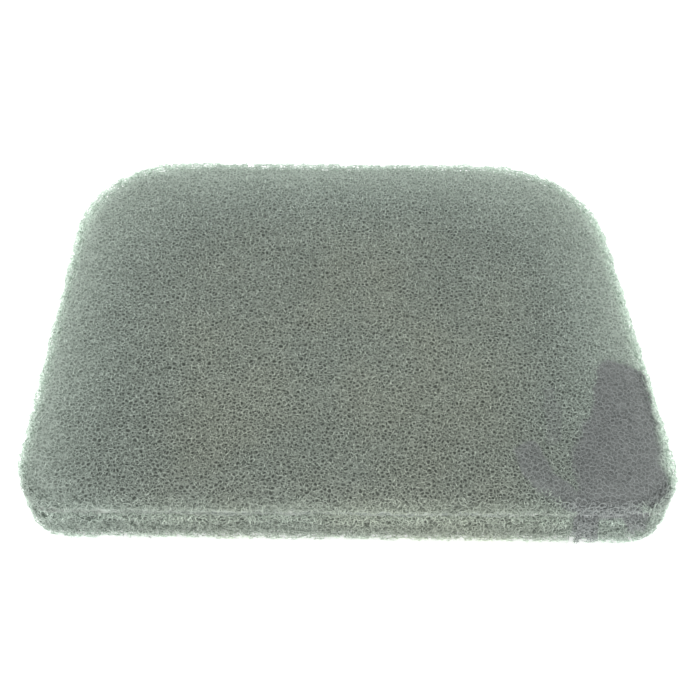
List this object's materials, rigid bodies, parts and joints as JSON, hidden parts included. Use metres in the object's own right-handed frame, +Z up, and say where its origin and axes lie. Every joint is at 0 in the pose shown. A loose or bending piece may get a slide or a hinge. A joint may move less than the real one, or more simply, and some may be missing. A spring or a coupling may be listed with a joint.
{
  "type": "foam air filter element",
  "caption": "Flat open-cell foam air filter element of bonded layers, with one wide straight side and a narrower side with large round corners.",
  "frame": {"origin": "centre of the box on the underside, where the element rests in its tray", "axes": "+X along the wide straight side, +Y from that side to the narrower round side, +Z up through the thickness"},
  "size_m": [0.1332, 0.097, 0.016],
  "materials": {
    "foam_upper": "matt open-cell foam, grey-green",
    "foam_lower": "matt open-cell foam, grey-green, a little paler",
    "adhesive": "pale dried adhesive, rough"
  },
  "bodies": {
    "root": {"upper_foam_layer": "foam_upper", "adhesive_bead": "adhesive", "lower_foam_layer": "foam_lower"}
  },
  "joints": []
}
